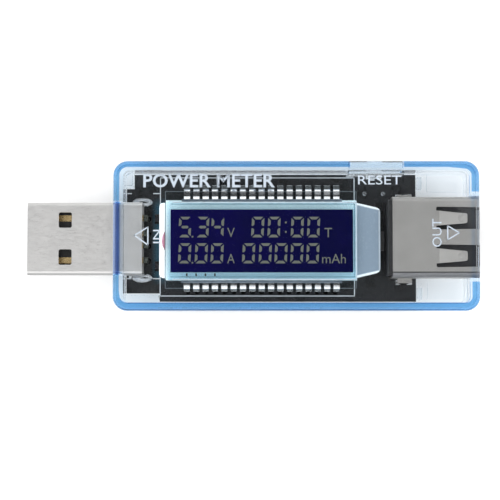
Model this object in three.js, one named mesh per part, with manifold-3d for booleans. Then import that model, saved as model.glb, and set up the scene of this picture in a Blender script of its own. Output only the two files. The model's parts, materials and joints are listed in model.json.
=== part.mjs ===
// A pocket USB power meter. A clear two-part case holds one board, with a type A plug at one end and a
// type A socket at the other. A pinned liquid crystal display with a side-lit light guide stands on the board,
// and a reset key in the side wall presses a small side-acting switch on the board's underside.
//
// Millimetres, +Z up. The origin is the centre of the case's flat back. The plug points along -X, the socket
// opens along +X, and the reset key faces +Y.
import * as THREE from "three";
import { mergeVertices } from "three/addons/utils/BufferGeometryUtils.js";
import Module from "manifold-3d";

const wasm = await Module();
wasm.setup();

// ---------------------------------------------------------------- driving dimensions

// Case
const CASE_LENGTH = 60;
const CASE_WIDTH = 24.6;
const CASE_HEIGHT = 12;
const CASE_CORNER = 2.4;
const CASE_EDGE = 0.6; // rounding of the long outer edges
const WALL = 1.45; // thickness of the long sides
const END_WALL = 1.65;
const PLATE = 1.3; // thickness of the front and the back
const SPLIT_Z = 7; // height of the joint between the two covers
const SPLIT_GAP = 0.06;
const LIP_THICK = 0.6;
const LIP_HEIGHT = 0.7;
const FIT = 0.1; // clearance round anything that passes through a wall
const TOUCH = 0.05; // gap between pieces that rest on each other

// Board
const BOARD_TOP = 4.6;
const BOARD_THICK = 1.2;
const BOARD_LEFT = -28.25;
const BOARD_RIGHT = 20.2;
const BOARD_BACK = 10.7; // the edge by the reset key
const BOARD_FRONT = -10.6;

// Plug, a standard type A
const PLUG_WIDTH = 12;
const PLUG_HEIGHT = 4.5;
const PLUG_TIP = -44.3;
const PLUG_REAR = -25.35;
const PLUG_Y = -0.3;
const PLUG_Z = 7;
const WINDOW_FROM_TIP = 5.16;
const WINDOW_LENGTH = 2.15;
const WINDOW_WIDTH = 2.55;
const WINDOW_OFFSET = 3.06;

// Socket, a low standard type A
const SOCKET_WIDTH = 13.3;
const SOCKET_HEIGHT = 5.8;
const SOCKET_REAR = 15.8;
const SOCKET_MOUTH = 30;
const SOCKET_Y = -0.15;
const SHEET = 0.3; // steel of both shells

// Contacts of a type A connector: two long outer ones for power, two short inner ones for data
const CONTACT_OFFSETS = [3.5, 1, -1, -3.5];
const CONTACT_NAMES = ["power", "data_minus", "data_plus", "ground"];

// Display
const LCD_Y = -0.5;
const LCD_LEFT = -21.6;
const LCD_RIGHT = 10;
const REAR_GLASS_HALF = 8.05; // the rear glass reaches past the front one, and its pins clip on there
const FRONT_GLASS_HALF = 6.45;
const GLASS_THICK = 0.7;
const FILM_THICK = 0.2;
const VIEW_LEFT = -20.64;
const VIEW_RIGHT = 9.36;
const VIEW_Y = -0.72;
const VIEW_HALF = 5.16;
const PIN_COUNT = 17;
const PIN_PITCH = 1.54;
const PIN_FIRST_X = -17.97;
const PIN_ROWS = [-8.95, 8.5]; // along Y, for the far side's row and the key side's

// Reset key and its switch
const KEY_X = 13.2;
const KEY_HALF = 4.4;
const KEY_BOTTOM = 4.8; // above the board, except for the foot that reaches down to the switch
const KEY_TOP = 8.8;
const NUB_HALF = 2.35;
const NUB_PROUD = 0.3;
const KEY_TRAVEL = 0.25;

// ---------------------------------------------------------------- derived levels

const BOARD_UNDER = BOARD_TOP - BOARD_THICK;
const SOCKET_BASE = BOARD_TOP + 0.15;
const SOCKET_TOP = SOCKET_BASE + SOCKET_HEIGHT;
const SOCKET_Z = (SOCKET_BASE + SOCKET_TOP) / 2;
const CASE_HALF = CASE_WIDTH / 2;
const CASE_END = CASE_LENGTH / 2;
const INNER_HALF = CASE_HALF - WALL;
const INNER_END = CASE_END - END_WALL;
const CEILING = CASE_HEIGHT - PLATE;
const GUIDE_BASE = BOARD_TOP + 0.3;
const GUIDE_TOP = GUIDE_BASE + 2.8;
const GUIDE_END = 14;
const REAR_FILM_Z = GUIDE_TOP + TOUCH;
const REAR_GLASS_Z = REAR_FILM_Z + FILM_THICK + TOUCH;
const FRONT_GLASS_Z = REAR_GLASS_Z + GLASS_THICK + TOUCH;
const FRONT_FILM_Z = FRONT_GLASS_Z + GLASS_THICK + TOUCH;

// ---------------------------------------------------------------- solids

/** A closed three.js geometry as a manifold-3d solid. */
function solidOf(geometry) {
  const bare = geometry.index ? geometry.toNonIndexed() : geometry;
  bare.deleteAttribute("normal");
  bare.deleteAttribute("uv");
  const merged = mergeVertices(bare, 1e-4);
  const vertProperties = merged.attributes.position.array;
  const triVerts = new Uint32Array(merged.index.array);
  return new wasm.Manifold(new wasm.Mesh({ numProp: 3, vertProperties, triVerts }));
}

/** A manifold-3d solid as a three.js geometry. */
function geometryOf(solid) {
  const mesh = solid.getMesh();
  const geometry = new THREE.BufferGeometry();
  geometry.setAttribute("position", new THREE.BufferAttribute(mesh.vertProperties, 3));
  geometry.setIndex(new THREE.BufferAttribute(mesh.triVerts, 1));
  geometry.computeVertexNormals();
  return geometry;
}

const union = (solids) => solids.reduce((whole, next) => whole.add(next));

/** A box between two values on each axis. */
function block([x0, x1], [y0, y1], [z0, z1]) {
  const box = new THREE.BoxGeometry(x1 - x0, y1 - y0, z1 - z0);
  return solidOf(box.translate((x0 + x1) / 2, (y0 + y1) / 2, (z0 + z1) / 2));
}

/** A span of the given half-width around a centre. */
const around = (centre, half) => [centre - half, centre + half];

/** An outline, drawn in X and Y, standing between two heights. */
function prismZ(shape, [z0, z1], curveSegments = 4) {
  const options = { depth: z1 - z0, bevelEnabled: false, curveSegments };
  return solidOf(new THREE.ExtrudeGeometry(shape, options).translate(0, 0, z0));
}

/** An outline, drawn in Y and Z, running between two places along X. */
function prismX(shape, [x0, x1], curveSegments = 4) {
  const options = { depth: x1 - x0, bevelEnabled: false, curveSegments };
  const turn = new THREE.Matrix4().set(0, 0, 1, x0, 1, 0, 0, 0, 0, 1, 0, 0, 0, 0, 0, 1);
  return solidOf(new THREE.ExtrudeGeometry(shape, options).applyMatrix4(turn));
}

/** An outline, drawn in X and Z, running between two places along Y. */
function prismY(shape, [y0, y1], curveSegments = 4) {
  const options = { depth: y1 - y0, bevelEnabled: false, curveSegments };
  const turn = new THREE.Matrix4().set(1, 0, 0, 0, 0, 0, -1, y1, 0, 1, 0, 0, 0, 0, 0, 1);
  return solidOf(new THREE.ExtrudeGeometry(shape, options).applyMatrix4(turn));
}

function polygon(points) {
  return new THREE.Shape(points.map(([x, y]) => new THREE.Vector2(x, y)));
}

/** A rectangle with round corners, centred on (cx, cy). */
function roundedRectangle(width, height, radius, cx = 0, cy = 0) {
  const x = width / 2 - radius;
  const y = height / 2 - radius;
  const shape = new THREE.Shape();
  shape.moveTo(cx - x, cy - y - radius);
  shape.lineTo(cx + x, cy - y - radius);
  shape.absarc(cx + x, cy - y, radius, -Math.PI / 2, 0);
  shape.absarc(cx + x, cy + y, radius, 0, Math.PI / 2);
  shape.absarc(cx - x, cy + y, radius, Math.PI / 2, Math.PI);
  shape.absarc(cx - x, cy - y, radius, Math.PI, Math.PI * 1.5);
  return shape;
}

/** A strip of constant thickness along a centre line of [u, v] points, as a closed outline. */
function strip(line, thickness) {
  const sides = [[], []];
  line.forEach(([u, v], i) => {
    const before = line[Math.max(i - 1, 0)];
    const after = line[Math.min(i + 1, line.length - 1)];
    const into = new THREE.Vector2(u - before[0], v - before[1]).normalize();
    const out = new THREE.Vector2(after[0] - u, after[1] - v).normalize();
    if (i === 0) into.copy(out);
    if (i === line.length - 1) out.copy(into);
    const across = new THREE.Vector2(-into.y - out.y, into.x + out.x).normalize();
    const reach = thickness / 2 / across.dot(new THREE.Vector2(-into.y, into.x));
    sides[0].push([u + across.x * reach, v + across.y * reach]);
    sides[1].unshift([u - across.x * reach, v - across.y * reach]);
  });
  return polygon([...sides[0], ...sides[1]].reverse());
}

// ---------------------------------------------------------------- materials and assembly

const paint = (color, roughness, metalness = 0, opacity = 1) =>
  new THREE.MeshStandardMaterial({ color, roughness, metalness, opacity, transparent: opacity < 1 });

const clearBlue = paint("#a9d3f5", 0.08, 0, 0.35);
const keyPlastic = paint("#cfdcf2", 0.25, 0, 0.6);
const blackMask = paint("#15171a", 0.35);
const steel = paint("#c4c4c2", 0.32, 1);
const blackNylon = paint("#1b1b1d", 0.5);
const gold = paint("#d9b45a", 0.25, 1);
const glass = paint("#d5ecf5", 0.03, 0, 0.3);
const darkFilm = paint("#15104a", 0.15);
const guideAcrylic = paint("#d8f1fb", 0.15);
const whiteFilm = paint("#f2f5f7", 0.5);
const tin = paint("#d8dadb", 0.3, 1);
const epoxy = paint("#c58aa0", 0.3);
const chipResin = paint("#202124", 0.6);
const ceramicTan = paint("#b79a72", 0.5);
const ceramicBlack = paint("#26272b", 0.45);

const meter = new THREE.Group();

function add(name, solid, material) {
  const mesh = new THREE.Mesh(geometryOf(solid), material);
  mesh.name = name;
  meter.add(mesh);
}

// ---------------------------------------------------------------- case

/** The outside of the closed case, with every long edge rounded. */
function caseBody() {
  const outline = roundedRectangle(CASE_LENGTH, CASE_WIDTH, CASE_CORNER);
  const options = {
    depth: CASE_HEIGHT - 2 * CASE_EDGE,
    bevelThickness: CASE_EDGE,
    bevelSize: CASE_EDGE,
    bevelOffset: -CASE_EDGE,
    bevelSegments: 3,
    curveSegments: 6,
  };
  return solidOf(new THREE.ExtrudeGeometry(outline, options).translate(0, 0, CASE_EDGE));
}

/** A ring inside the wall, from one inset to a deeper one. */
function wallRing(outerInset, innerInset, span) {
  const at = (inset) =>
    roundedRectangle(CASE_LENGTH - 2 * inset, CASE_WIDTH - 2 * inset, CASE_CORNER - inset);
  return prismZ(at(outerInset), span, 6).subtract(prismZ(at(innerInset), [span[0] - 1, span[1] + 1], 6));
}

/** What is cut from both covers: the plug's, the socket's and the key's ways through the wall. */
function wallOpenings() {
  const plug = roundedRectangle(PLUG_WIDTH + 2 * FIT, PLUG_HEIGHT + 2 * FIT, 0.6, PLUG_Y, PLUG_Z);
  const socketTop = CEILING - 0.001; // the socket's way is open up to the front plate
  return union([
    prismX(plug, [-CASE_END - 1, -INNER_END + 0.5]),
    block(
      [INNER_END - 0.5, CASE_END + 1],
      around(SOCKET_Y, SOCKET_WIDTH / 2 + FIT),
      [SOCKET_BASE - FIT, socketTop],
    ),
    block(
      around(KEY_X, KEY_HALF + FIT),
      [INNER_HALF - 0.5, CASE_HALF + 1],
      [KEY_BOTTOM - FIT, KEY_TOP + FIT],
    ),
  ]);
}

const cavity = prismZ(
  roundedRectangle(2 * INNER_END, 2 * INNER_HALF, CASE_CORNER - WALL),
  [PLATE, CEILING],
  6,
);
const shell = caseBody().subtract(cavity);
const whole = [-CASE_LENGTH, CASE_LENGTH];

/** Room in the front cover's wall for the back cover's lip. */
const lipRoom = wallRing(WALL - LIP_THICK - FIT, WALL + 0.5, [SPLIT_Z - 1, SPLIT_Z + LIP_HEIGHT + FIT]);

function frontCover() {
  const above = block(whole, whole, [SPLIT_Z + SPLIT_GAP / 2, CASE_HEIGHT + 1]);
  const padHeights = [CEILING - 0.45, CEILING + 0.3];
  const pads = [
    block([21.4, 27.8], [7.2, 10.3], padHeights),
    block([21.4, 27.8], [-10.3, -7.6], padHeights),
    block([-28.2, -26.9], [8.3, 10.5], padHeights),
  ];
  return union([shell.intersect(above), ...pads]).subtract(lipRoom).subtract(wallOpenings());
}

function backCover() {
  const below = block(whole, whole, [-1, SPLIT_Z - SPLIT_GAP / 2]);
  const lip = wallRing(WALL - LIP_THICK, WALL, [SPLIT_Z - 0.5, SPLIT_Z + LIP_HEIGHT]);
  const overWall = 0.4; // how far a rib runs into the wall it stands on
  const underBoard = [PLATE - 0.3, BOARD_UNDER - TOUCH];
  const restX = [-20.5, -9, 2.5];
  const rests = restX.flatMap((x) => [
    block([x, x + 1.6], [INNER_HALF - 0.8, INNER_HALF + overWall], underBoard),
    block([x, x + 1.6], [-INNER_HALF - overWall, -INNER_HALF + 0.8], underBoard),
  ]);
  const endRests = [
    block([-INNER_END - overWall, -27.6], [-8.6, -7.4], underBoard),
    block([-INNER_END - overWall, -27.6], [6.8, 8], underBoard),
    block([18.6, 20], [-10.3, -9.1], underBoard),
    block([18.6, 20], [9.1, 10.3], underBoard),
  ];
  const cornerPost = block(
    [-INNER_END - overWall, -27.1],
    [8.5, INNER_HALF + overWall],
    [PLATE - 0.3, BOARD_TOP + 0.3],
  );
  const sideRail = block(
    [-INNER_END - overWall, -22.9],
    [-INNER_HALF - overWall, -9.45],
    [PLATE - 0.3, BOARD_TOP + 0.3],
  );
  const boardStops = [
    block([20.4, 21.2], [-10.3, -8.3], [PLATE - 0.3, BOARD_TOP + 0.4]),
    block([20.4, 21.2], [8.3, 10.3], [PLATE - 0.3, BOARD_TOP + 0.4]),
  ];
  return union([shell.intersect(below), lip, ...rests, ...endRests, cornerPost, sideRail, ...boardStops])
    .subtract(wallOpenings());
}

// ---------------------------------------------------------------- reset key and switch

const FLANGE_OUT = INNER_HALF - TOUCH;
const FLANGE_IN = FLANGE_OUT - 0.45;
const STEM_Z = 2.5;
const KEY_FOOT_HALF = 1.2;
const STEM_FACE = FLANGE_IN - 0.1 - TOUCH;

function resetKey() {
  const bodyShape = roundedRectangle(2 * KEY_HALF, KEY_TOP - KEY_BOTTOM, 0.4, KEY_X, (KEY_TOP + KEY_BOTTOM) / 2);
  const nubShape = roundedRectangle(2 * NUB_HALF, 3.2, 0.5, KEY_X, (KEY_TOP + KEY_BOTTOM) / 2);
  return union([
    prismY(bodyShape, [FLANGE_OUT - 0.2, CASE_HALF - 0.1]),
    prismY(nubShape, [FLANGE_OUT, CASE_HALF + NUB_PROUD]),
    block(around(KEY_X, KEY_HALF + 0.3), [FLANGE_IN, FLANGE_OUT], [BOARD_TOP + 0.12, KEY_TOP + 0.7]),
    block(around(KEY_X, KEY_FOOT_HALF), [FLANGE_IN, FLANGE_OUT], [STEM_Z - 0.6, KEY_TOP]),
    block(around(KEY_X, KEY_FOOT_HALF), [FLANGE_IN - 0.1, FLANGE_IN + 0.1], around(STEM_Z, 0.5)),
  ]);
}

const SWITCH_FRONT = 9.4;
const SWITCH_BACK = 6.2;
const SWITCH_HALF = 3;
const TERMINAL_OFFSET = 1.55;

function switchBase() {
  const body = block(around(KEY_X, SWITCH_HALF), [SWITCH_BACK, SWITCH_FRONT], [1.75, BOARD_UNDER - TOUCH]);
  const chamber = block(around(KEY_X, 1.15), [7.2, SWITCH_FRONT + 1], [2, 3]);
  return body.subtract(chamber);
}

function switchFrame() {
  const under = block(around(KEY_X, SWITCH_HALF + 0.15), [SWITCH_BACK + 0.2, SWITCH_FRONT + 0.2], [1.5, 1.7]);
  const face = block(
    around(KEY_X, SWITCH_HALF + 0.15),
    [SWITCH_FRONT + TOUCH, SWITCH_FRONT + 0.2],
    [1.6, BOARD_UNDER - TOUCH],
  );
  const ears = [-1, 1].map((side) => {
    const x = KEY_X + side * (SWITCH_HALF + 0.12);
    return block(around(x, 0.07), [SWITCH_BACK + 0.6, SWITCH_FRONT + 0.2], [1.6, BOARD_UNDER - TOUCH]);
  });
  const hole = block(around(KEY_X, 0.9), [SWITCH_FRONT - 1, SWITCH_FRONT + 1], around(STEM_Z, 0.48));
  return union([under, face, ...ears]).subtract(hole);
}

function switchStem() {
  return union([
    block(around(KEY_X, 0.8), [8.6, STEM_FACE], around(STEM_Z, 0.42)),
    block(around(KEY_X, 1.05), [8.3, 9.05], around(STEM_Z, 0.45)),
  ]);
}

/** The sprung metal dome behind the stem, bowed towards it. */
function switchDome() {
  const bow = [-1, -0.5, 0, 0.5, 1].map((u) => [KEY_X + u, 7.4 + 0.5 * (1 - u * u)]);
  return prismZ(strip(bow, 0.08), around(STEM_Z, 0.42));
}

// ---------------------------------------------------------------- board

const LEG_X = [-27.9, -26.1]; // the plug shell's legs
const PLUG_TAIL_X = -24.6;
const SOCKET_LEG_X = [17, 20];
const SOCKET_LEG_OUT = SOCKET_WIDTH / 2 + 0.7;
const SOCKET_TAIL_X = 16.9;
const HOLE_SIDES = 8;

function drill(x, y, radius) {
  const hole = new THREE.CylinderGeometry(radius, radius, 3 * BOARD_THICK, HOLE_SIDES);
  return solidOf(hole.rotateX(Math.PI / 2).translate(x, y, BOARD_TOP - BOARD_THICK / 2));
}

function board() {
  const outline = polygon([
    [BOARD_LEFT, -9.2],
    [-22.7, -9.2],
    [-22.7, BOARD_FRONT],
    [BOARD_RIGHT, BOARD_FRONT],
    [BOARD_RIGHT, BOARD_BACK],
    [KEY_X + KEY_FOOT_HALF + 0.15, BOARD_BACK],
    [KEY_X + KEY_FOOT_HALF + 0.15, 9.95],
    [KEY_X - KEY_FOOT_HALF - 0.15, 9.95],
    [KEY_X - KEY_FOOT_HALF - 0.15, BOARD_BACK],
    [-26.95, BOARD_BACK],
    [-26.95, 8.3],
    [BOARD_LEFT, 8.3],
  ]);
  const through = [BOARD_UNDER - 1, BOARD_TOP + 1];
  const holes = [];
  for (let i = 0; i < PIN_COUNT; i += 1) {
    for (const row of PIN_ROWS) {
      holes.push(drill(PIN_FIRST_X + i * PIN_PITCH, row, 0.45));
    }
  }
  for (const offset of CONTACT_OFFSETS) {
    holes.push(drill(PLUG_TAIL_X, PLUG_Y + offset, 0.5));
    holes.push(drill(SOCKET_TAIL_X, SOCKET_Y + offset, 0.5));
  }
  for (const side of [-1, 1]) {
    holes.push(block(LEG_X, around(PLUG_Y + side * (PLUG_WIDTH / 2 - SHEET / 2), 0.45), through));
    holes.push(block(
      [SOCKET_LEG_X[0] - 0.2, SOCKET_LEG_X[1] - 0.4],
      around(SOCKET_Y + side * (SOCKET_LEG_OUT - SHEET / 2), 0.4),
      through,
    ));
    holes.push(drill(KEY_X + side * TERMINAL_OFFSET, 7.5, 0.4));
  }
  return prismZ(outline, [BOARD_UNDER, BOARD_TOP]).subtract(union(holes));
}

// ---------------------------------------------------------------- plug

function plugShell() {
  const outer = roundedRectangle(PLUG_WIDTH, PLUG_HEIGHT, 0.6, PLUG_Y, PLUG_Z);
  const inner = roundedRectangle(PLUG_WIDTH - 2 * SHEET, PLUG_HEIGHT - 2 * SHEET, 0.3, PLUG_Y, PLUG_Z);
  const start = PLUG_TIP + WINDOW_FROM_TIP;
  const windows = [-1, 1].map((side) => {
    const centre = PLUG_Y + side * WINDOW_OFFSET;
    const shape = roundedRectangle(WINDOW_LENGTH, WINDOW_WIDTH, 0.3, start + WINDOW_LENGTH / 2, centre);
    return prismZ(shape, [PLUG_Z - PLUG_HEIGHT, PLUG_Z + PLUG_HEIGHT]);
  });
  const legs = [-1, 1].map((side) => {
    const y = PLUG_Y + side * (PLUG_WIDTH / 2 - SHEET / 2);
    return block([LEG_X[0] + 0.2, LEG_X[1] - 0.2], around(y, SHEET / 2), [2.2, PLUG_Z - 1]);
  });
  return prismX(outer, [PLUG_TIP, PLUG_REAR])
    .subtract(prismX(inner, [PLUG_TIP - 1, PLUG_REAR + 1]))
    .subtract(union(windows))
    .add(union(legs));
}

const PLUG_FLOOR = PLUG_Z - PLUG_HEIGHT / 2 + SHEET + TOUCH;
const TONGUE_TOP = PLUG_FLOOR + 1.85;
const PLUG_STRIP_Z = TONGUE_TOP + 0.1; // centre of the contact strips

function plugInsulator() {
  const half = PLUG_WIDTH / 2 - SHEET - TOUCH;
  const roof = PLUG_Z + PLUG_HEIGHT / 2 - SHEET - TOUCH;
  const tongue = block([PLUG_TIP + 0.8, -33.4], around(PLUG_Y, half - 0.1), [PLUG_FLOOR, TONGUE_TOP]);
  const heel = block([-33.5, PLUG_REAR - 0.3], around(PLUG_Y, half - 0.1), [PLUG_FLOOR, roof]);
  const channels = CONTACT_OFFSETS.map((offset) =>
    block([-33.6, -25], around(PLUG_Y + offset, 0.6), [TONGUE_TOP, TONGUE_TOP + 0.3]),
  );
  return tongue.add(heel).subtract(union(channels));
}

/** A flat strip on the tongue, which bends down behind the plug and ends in a tail through the board. */
function plugContact(offset) {
  const start = PLUG_TIP + (Math.abs(offset) > 2 ? 2 : 3);
  const thick = 0.14;
  const top = [[start, PLUG_STRIP_Z], [PLUG_TAIL_X, PLUG_STRIP_Z], [PLUG_TAIL_X, BOARD_TOP + 0.2]];
  const tail = [[PLUG_TAIL_X, BOARD_TOP + 0.6], [PLUG_TAIL_X, 2.5]];
  return prismY(strip(top, thick), around(PLUG_Y + offset, 0.5))
    .add(prismY(strip(tail, thick), around(PLUG_Y + offset, 0.3)));
}

// ---------------------------------------------------------------- socket

const FINGER_ROOT = 22.95;
const FINGER_TIP = 28.1;
const FINGER_OFFSET = 3.1;
const SOCKET_BEND = 0.8; // outer radius of the shell's bends

/** The plan of a finger, or of the gap round it: half-widths at its root and its tip, with round corners. */
function fingerPlan(centre, start, end, rootHalf, tipHalf, corner) {
  const shape = new THREE.Shape();
  shape.moveTo(start, centre - rootHalf + corner);
  shape.quadraticCurveTo(start, centre - rootHalf, start + corner, centre - rootHalf);
  shape.lineTo(end - corner, centre - tipHalf);
  shape.quadraticCurveTo(end, centre - tipHalf, end, centre - tipHalf + corner);
  shape.lineTo(end, centre + tipHalf - corner);
  shape.quadraticCurveTo(end, centre + tipHalf, end - corner, centre + tipHalf);
  shape.lineTo(start + corner, centre + rootHalf);
  shape.quadraticCurveTo(start, centre + rootHalf, start, centre + rootHalf - corner);
  shape.lineTo(start, centre - rootHalf + corner);
  return shape;
}

/** One sprung finger: it narrows towards its tip, dips into the mouth and turns up at the end. */
function finger(centre, level, inward) {
  const line = [
    [FINGER_ROOT - 0.6, level],
    [FINGER_ROOT + 0.5, level],
    [FINGER_TIP - 0.9, level + inward * 0.5],
    [FINGER_TIP + 0.2, level + inward * 0.25],
  ];
  const plan = fingerPlan(centre, FINGER_ROOT - 0.5, FINGER_TIP, 1.26, 0.82, 0.35);
  return prismY(strip(line, SHEET), around(centre, 3)).intersect(prismZ(plan, [0, CASE_HEIGHT]));
}

function socketShell() {
  const outer = roundedRectangle(SOCKET_WIDTH, SOCKET_HEIGHT, SOCKET_BEND, SOCKET_Y, SOCKET_Z);
  const innerSize = [SOCKET_WIDTH - 2 * SHEET, SOCKET_HEIGHT - 2 * SHEET, SOCKET_BEND - SHEET];
  const inner = roundedRectangle(...innerSize, SOCKET_Y, SOCKET_Z);
  const gaps = [];
  const fingers = [];
  for (const side of [-1, 1]) {
    const centre = SOCKET_Y + side * FINGER_OFFSET;
    const room = fingerPlan(centre, FINGER_ROOT, SOCKET_MOUTH + 1, 1.88, 1.76, 0.3);
    gaps.push(prismZ(room, [0, CASE_HEIGHT]));
    fingers.push(finger(centre, SOCKET_TOP - SHEET / 2, -1));
    fingers.push(finger(centre, SOCKET_BASE + SHEET / 2, 1));
  }
  const tailRoom = block([SOCKET_REAR - 1, 18], around(SOCKET_Y, 4.6), [0, SOCKET_BASE + SHEET + 0.1]);
  const legs = [-1, 1].flatMap((side) => {
    const away = (near, far) => [SOCKET_Y + side * near, SOCKET_Y + side * far].sort((a, b) => a - b);
    const step = SOCKET_BASE + 0.75;
    return [
      block([17, 19.4], away(SOCKET_WIDTH / 2 - SHEET, SOCKET_LEG_OUT), [step - SHEET, step]),
      block([17, 19.4], away(SOCKET_LEG_OUT - SHEET, SOCKET_LEG_OUT), [2.3, step]),
    ];
  });
  return prismX(outer, [SOCKET_REAR, SOCKET_MOUTH])
    .subtract(prismX(inner, [SOCKET_REAR - 1, SOCKET_MOUTH + 1]))
    .subtract(union([...gaps, tailRoom]))
    .add(union([...fingers, ...legs]));
}

const SOCKET_TONGUE_UNDER = SOCKET_Z + 0.13;
const SOCKET_STRIP_Z = SOCKET_TONGUE_UNDER - 0.14;
const HEEL_FRONT = 18.4;

function socketInsulator() {
  const heelWidth = SOCKET_WIDTH - 2 * SHEET - 0.3;
  const heelHeight = SOCKET_HEIGHT - 2 * (SHEET + TOUCH);
  const heelShape = roundedRectangle(heelWidth, heelHeight, SOCKET_BEND - SHEET, SOCKET_Y, SOCKET_Z);
  const heel = prismX(heelShape, [SOCKET_REAR - 0.7, HEEL_FRONT]);
  const tongue = block(
    [HEEL_FRONT - 0.1, SOCKET_MOUTH - 0.35],
    around(SOCKET_Y, 5.55),
    [SOCKET_TONGUE_UNDER, SOCKET_TONGUE_UNDER + 1.8],
  );
  const channels = CONTACT_OFFSETS.flatMap((offset) => [
    block(
      [SOCKET_TAIL_X - 0.3, HEEL_FRONT + 0.1],
      around(SOCKET_Y + offset, 0.55),
      [SOCKET_STRIP_Z - 0.25, SOCKET_TONGUE_UNDER],
    ),
    block([SOCKET_TAIL_X - 0.3, SOCKET_TAIL_X + 0.3], around(SOCKET_Y + offset, 0.55), [0, SOCKET_STRIP_Z]),
  ]);
  return heel.add(tongue).subtract(union(channels));
}

/** A sprung strip under the tongue, with its tail down through the heel and the board. */
function socketContact(offset) {
  const tip = SOCKET_MOUTH - (Math.abs(offset) > 2 ? 1.8 : 2.8);
  const line = [
    [tip, SOCKET_STRIP_Z],
    [tip - 1.4, SOCKET_STRIP_Z - 0.4],
    [tip - 3.6, SOCKET_STRIP_Z],
    [SOCKET_TAIL_X, SOCKET_STRIP_Z],
    [SOCKET_TAIL_X, BOARD_TOP + 0.2],
  ];
  const tail = [[SOCKET_TAIL_X, BOARD_TOP + 0.6], [SOCKET_TAIL_X, 2.5]];
  return prismY(strip(line, 0.16), around(SOCKET_Y + offset, 0.45))
    .add(prismY(strip(tail, 0.16), around(SOCKET_Y + offset, 0.3)));
}

// ---------------------------------------------------------------- display

/** The light guide's outline: a plate under the glass, with a lip at its left and a taper to the lamp. */
function guideOutline(inset) {
  const stations = [
    [LCD_LEFT - 1, 6.2],
    [LCD_LEFT + 0.1, 6.2],
    [LCD_LEFT + 0.1, 6.6],
    [LCD_RIGHT + 0.1, 6.6],
    [LCD_RIGHT + 0.1, 6.2],
    [GUIDE_END, 5.3],
  ].map(([x, half]) => [x, half - inset]);
  stations[0][0] += inset;
  stations[5][0] -= inset;
  const corner = 0.7;
  const [left, leftHalf] = stations[0];
  const [right, rightHalf] = stations[5];
  const shape = new THREE.Shape();
  shape.moveTo(left + corner, LCD_Y - leftHalf);
  stations.slice(1, 5).forEach(([x, half]) => shape.lineTo(x, LCD_Y - half));
  shape.lineTo(right - corner, LCD_Y - rightHalf - 0.15);
  shape.quadraticCurveTo(right, LCD_Y - rightHalf, right, LCD_Y - rightHalf + corner);
  shape.lineTo(right, LCD_Y + rightHalf - corner);
  shape.quadraticCurveTo(right, LCD_Y + rightHalf, right - corner, LCD_Y + rightHalf + 0.15);
  stations.slice(1, 5).reverse().forEach(([x, half]) => shape.lineTo(x, LCD_Y + half));
  shape.lineTo(left + corner, LCD_Y + leftHalf);
  shape.quadraticCurveTo(left, LCD_Y + leftHalf, left, LCD_Y + leftHalf - corner);
  shape.lineTo(left, LCD_Y - leftHalf + corner);
  shape.quadraticCurveTo(left, LCD_Y - leftHalf, left + corner, LCD_Y - leftHalf);
  return shape;
}

/** The seal over the hole through which the glass was filled. */
function fillSeal() {
  const shape = new THREE.Shape();
  const edge = LCD_LEFT - TOUCH;
  shape.moveTo(edge, VIEW_Y - 1.5);
  shape.lineTo(edge, VIEW_Y + 1.5);
  shape.quadraticCurveTo(edge - 0.9, VIEW_Y, edge, VIEW_Y - 1.5);
  return prismZ(shape, [REAR_GLASS_Z + 0.1, FRONT_GLASS_Z + GLASS_THICK - 0.1]);
}

/** A row of clip-on pins, held along the glass by their bead of adhesive. side is 1 for the key's side. */
function pinRow(side, row) {
  const thick = 0.2;
  const low = REAR_GLASS_Z - TOUCH - thick / 2;
  const high = REAR_GLASS_Z + GLASS_THICK + TOUCH + thick / 2;
  const edge = LCD_Y + side * REAR_GLASS_HALF;
  const inner = VIEW_Y + side * (FRONT_GLASS_HALF + 0.06);
  const bend = edge + side * 0.2;
  const upper = [[inner, high], [bend, high], [row, high - 0.45], [row, low - 0.9]];
  const lower = [[inner + side * 0.5, low], [row, low]];
  const leg = [[row, low - 0.6], [row, 2.6]];
  const placed = (line) => strip(side > 0 ? line : [...line].reverse(), thick);
  const pieces = [];
  for (let i = 0; i < PIN_COUNT; i += 1) {
    const x = PIN_FIRST_X + i * PIN_PITCH;
    pieces.push(prismX(placed(upper), around(x, 0.5)));
    pieces.push(prismX(placed(lower), around(x, 0.5)));
    pieces.push(prismX(placed(leg), around(x, 0.22)));
  }
  const last = PIN_FIRST_X + (PIN_COUNT - 1) * PIN_PITCH;
  const beadY = [inner - side * 0.02, inner + side * 0.42].sort((a, b) => a - b);
  pieces.push(block([PIN_FIRST_X - 0.9, last + 0.9], beadY, [high, high + 0.4]));
  return union(pieces);
}

// ---------------------------------------------------------------- parts on the board

/** A moulded chip on the board's underside with flat leads, on two sides or on four. */
function leadedChip({ x, y, length, width, height, leads, pitch, leadWidth, reach, fourSides = false }) {
  const top = BOARD_UNDER - TOUCH;
  const pieces = [block(around(x, length / 2), around(y, width / 2), [top - height, top - 0.1])];
  const root = 0.3; // how far a lead runs into the body
  for (let i = 0; i < leads; i += 1) {
    const along = (i - (leads - 1) / 2) * pitch;
    for (const side of [-1, 1]) {
      const endY = y + side * (width / 2 + (reach - root) / 2);
      const endX = x + side * (length / 2 + (reach - root) / 2);
      const half = (reach + root) / 2;
      pieces.push(block(around(x + along, leadWidth / 2), around(endY, half), [top - 0.25, top]));
      if (fourSides) {
        pieces.push(block(around(endX, half), around(y + along, leadWidth / 2), [top - 0.25, top]));
      }
    }
  }
  return union(pieces);
}

/** A two-ended chip part on the board, on its underside or its top. */
function chipPart(x, y, length, width, height, onTop = false) {
  const z = onTop ? [BOARD_TOP + TOUCH, BOARD_TOP + TOUCH + height] : [BOARD_UNDER - TOUCH - height, BOARD_UNDER - TOUCH];
  return block(around(x, length / 2), around(y, width / 2), z);
}

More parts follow.
